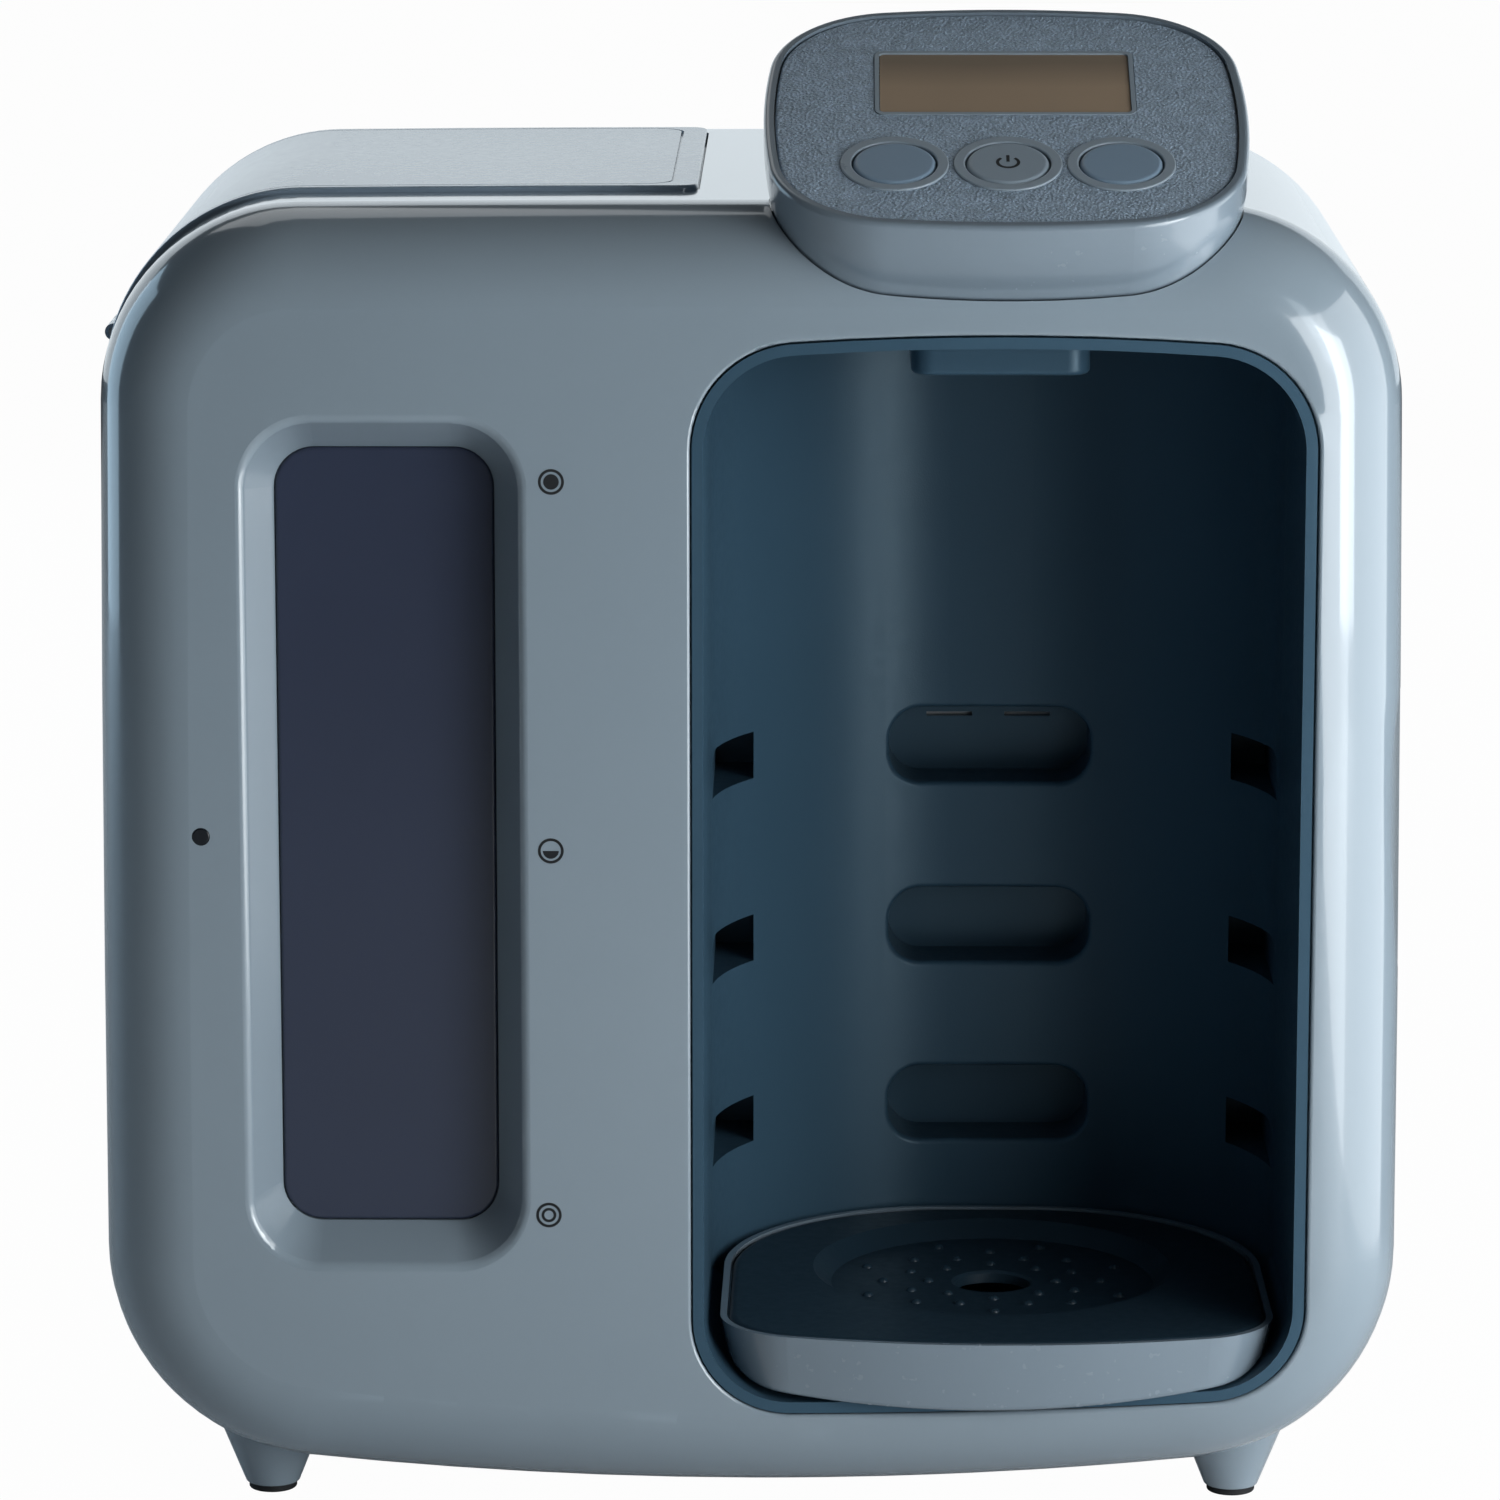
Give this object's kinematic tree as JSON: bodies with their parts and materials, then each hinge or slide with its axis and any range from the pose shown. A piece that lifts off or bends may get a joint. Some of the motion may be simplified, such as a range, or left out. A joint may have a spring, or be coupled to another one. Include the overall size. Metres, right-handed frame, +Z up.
{
  "type": "baby formula maker",
  "caption": "Counter-top baby formula maker: rounded body with an open bottle bay, lift-out water tank with hinged lid, level window, tilted control pod and slide-out drip tray.",
  "frame": {"origin": "on the floor below the middle of the bounding box", "axes": "+Z up, -Y out of the front of the machine, +X to the right seen from the front"},
  "size_m": [0.291, 0.1951, 0.3363],
  "materials": {
    "shell_gloss": "gloss moulded plastic",
    "lid_gloss": "gloss moulded plastic",
    "bay_satin": "dark satin plastic",
    "panel_grain": "dark grained plastic",
    "ring_satin": "satin plastic",
    "button_dark": "dark satin plastic",
    "button_light": "satin plastic",
    "display_pane": "tinted clear plastic",
    "display_cell": "display cell",
    "smoked_pane": "smoked clear plastic",
    "tank_clear": "clear plastic",
    "lens_dark": "dark clear plastic",
    "inner_plastic": "plain moulded plastic",
    "back_satin": "fine grained plastic",
    "circuit_board": "lacquered board",
    "steel": "turned steel",
    "soft_rubber": "black rubber",
    "hose_soft": "silicone hose",
    "filter_media": "filter media",
    "valve_rubber": "valve rubber"
  },
  "bodies": {
    "machine": {"front_shell": "shell_gloss", "rear_housing": "shell_gloss", "back_cover": "back_satin", "tank_well": "inner_plastic", "tank_dock": "inner_plastic", "bay_liner": "bay_satin", "nozzle_block": "bay_satin", "spout": "hose_soft", "level_window": "smoked_pane", "indicator_lens": "lens_dark", "pod_body": "shell_gloss", "panel_plate": "panel_grain", "display_frame": "ring_satin", "display_window": "display_pane", "display_module": "display_cell", "display_board": "circuit_board", "key_mat": "hose_soft", "left_button_ring": "ring_satin", "power_button_ring": "ring_satin", "right_button_ring": "ring_satin", "works_frame": "inner_plastic", "pump": "inner_plastic", "heater": "steel", "main_board": "circuit_board", "power_supply": "steel", "feed_hose": "hose_soft", "heater_hose": "hose_soft", "outlet_hose": "hose_soft", "cord_gland": "soft_rubber", "foot_front_left": "shell_gloss", "foot_pad_front_left": "soft_rubber", "foot_front_right": "shell_gloss", "foot_pad_front_right": "soft_rubber", "foot_back_left": "shell_gloss", "foot_pad_back_left": "soft_rubber", "foot_back_right": "shell_gloss", "foot_pad_back_right": "soft_rubber"},
    "tank": {"tank": "tank_clear", "filter_basket": "inner_plastic", "filter_cartridge": "filter_media", "lid_hinge_pins": "steel"},
    "lid": {"tank_lid": "lid_gloss"},
    "valve": {"tank_valve": "valve_rubber"},
    "filter_lid": {"filter_cap": "inner_plastic"},
    "tray": {"tray_base": "shell_gloss"},
    "drip_plate": {"tray_plate": "bay_satin"},
    "left_key": {"left_button": "button_dark"},
    "power_key": {"power_button": "button_light"},
    "right_key": {"right_button": "button_dark"}
  },
  "joints": [
    {"name": "tank_lift", "type": "slide", "parent": "machine", "child": "tank", "axis": [0, 0, 1], "range_m": [0, 0.28]},
    {"name": "lid_hinge", "type": "hinge", "parent": "tank", "child": "lid", "pos_m": [-0.1432, 0.018, 0.2669], "axis": [0, -1, 0], "range_deg": [0, 95]},
    {"name": "valve_lift", "type": "slide", "parent": "tank", "child": "valve", "axis": [0, 0, 1], "range_m": [0, 0.003], "stiffness_N_per_m": 60},
    {"name": "filter_cap_twist", "type": "hinge", "parent": "tank", "child": "filter_lid", "pos_m": [-0.07875, 0.018, 0.1], "axis": [0, 0, 1], "range_deg": [0, 60]},
    {"name": "tray_slide", "type": "slide", "parent": "machine", "child": "tray", "axis": [0, -1, 0], "range_m": [0, 0.13]},
    {"name": "drip_plate_lift", "type": "slide", "parent": "tray", "child": "drip_plate", "axis": [0, 0, 1], "range_m": [0, 0.03]},
    {"name": "left_button_press", "type": "slide", "parent": "machine", "child": "left_key", "axis": [0, 0.3907, -0.9205], "range_m": [0, 0.0012], "stiffness_N_per_m": 400},
    {"name": "power_button_press", "type": "slide", "parent": "machine", "child": "power_key", "axis": [0, 0.3907, -0.9205], "range_m": [0, 0.0012], "stiffness_N_per_m": 400},
    {"name": "right_button_press", "type": "slide", "parent": "machine", "child": "right_key", "axis": [0, 0.3907, -0.9205], "range_m": [0, 0.0012], "stiffness_N_per_m": 400}
  ]
}
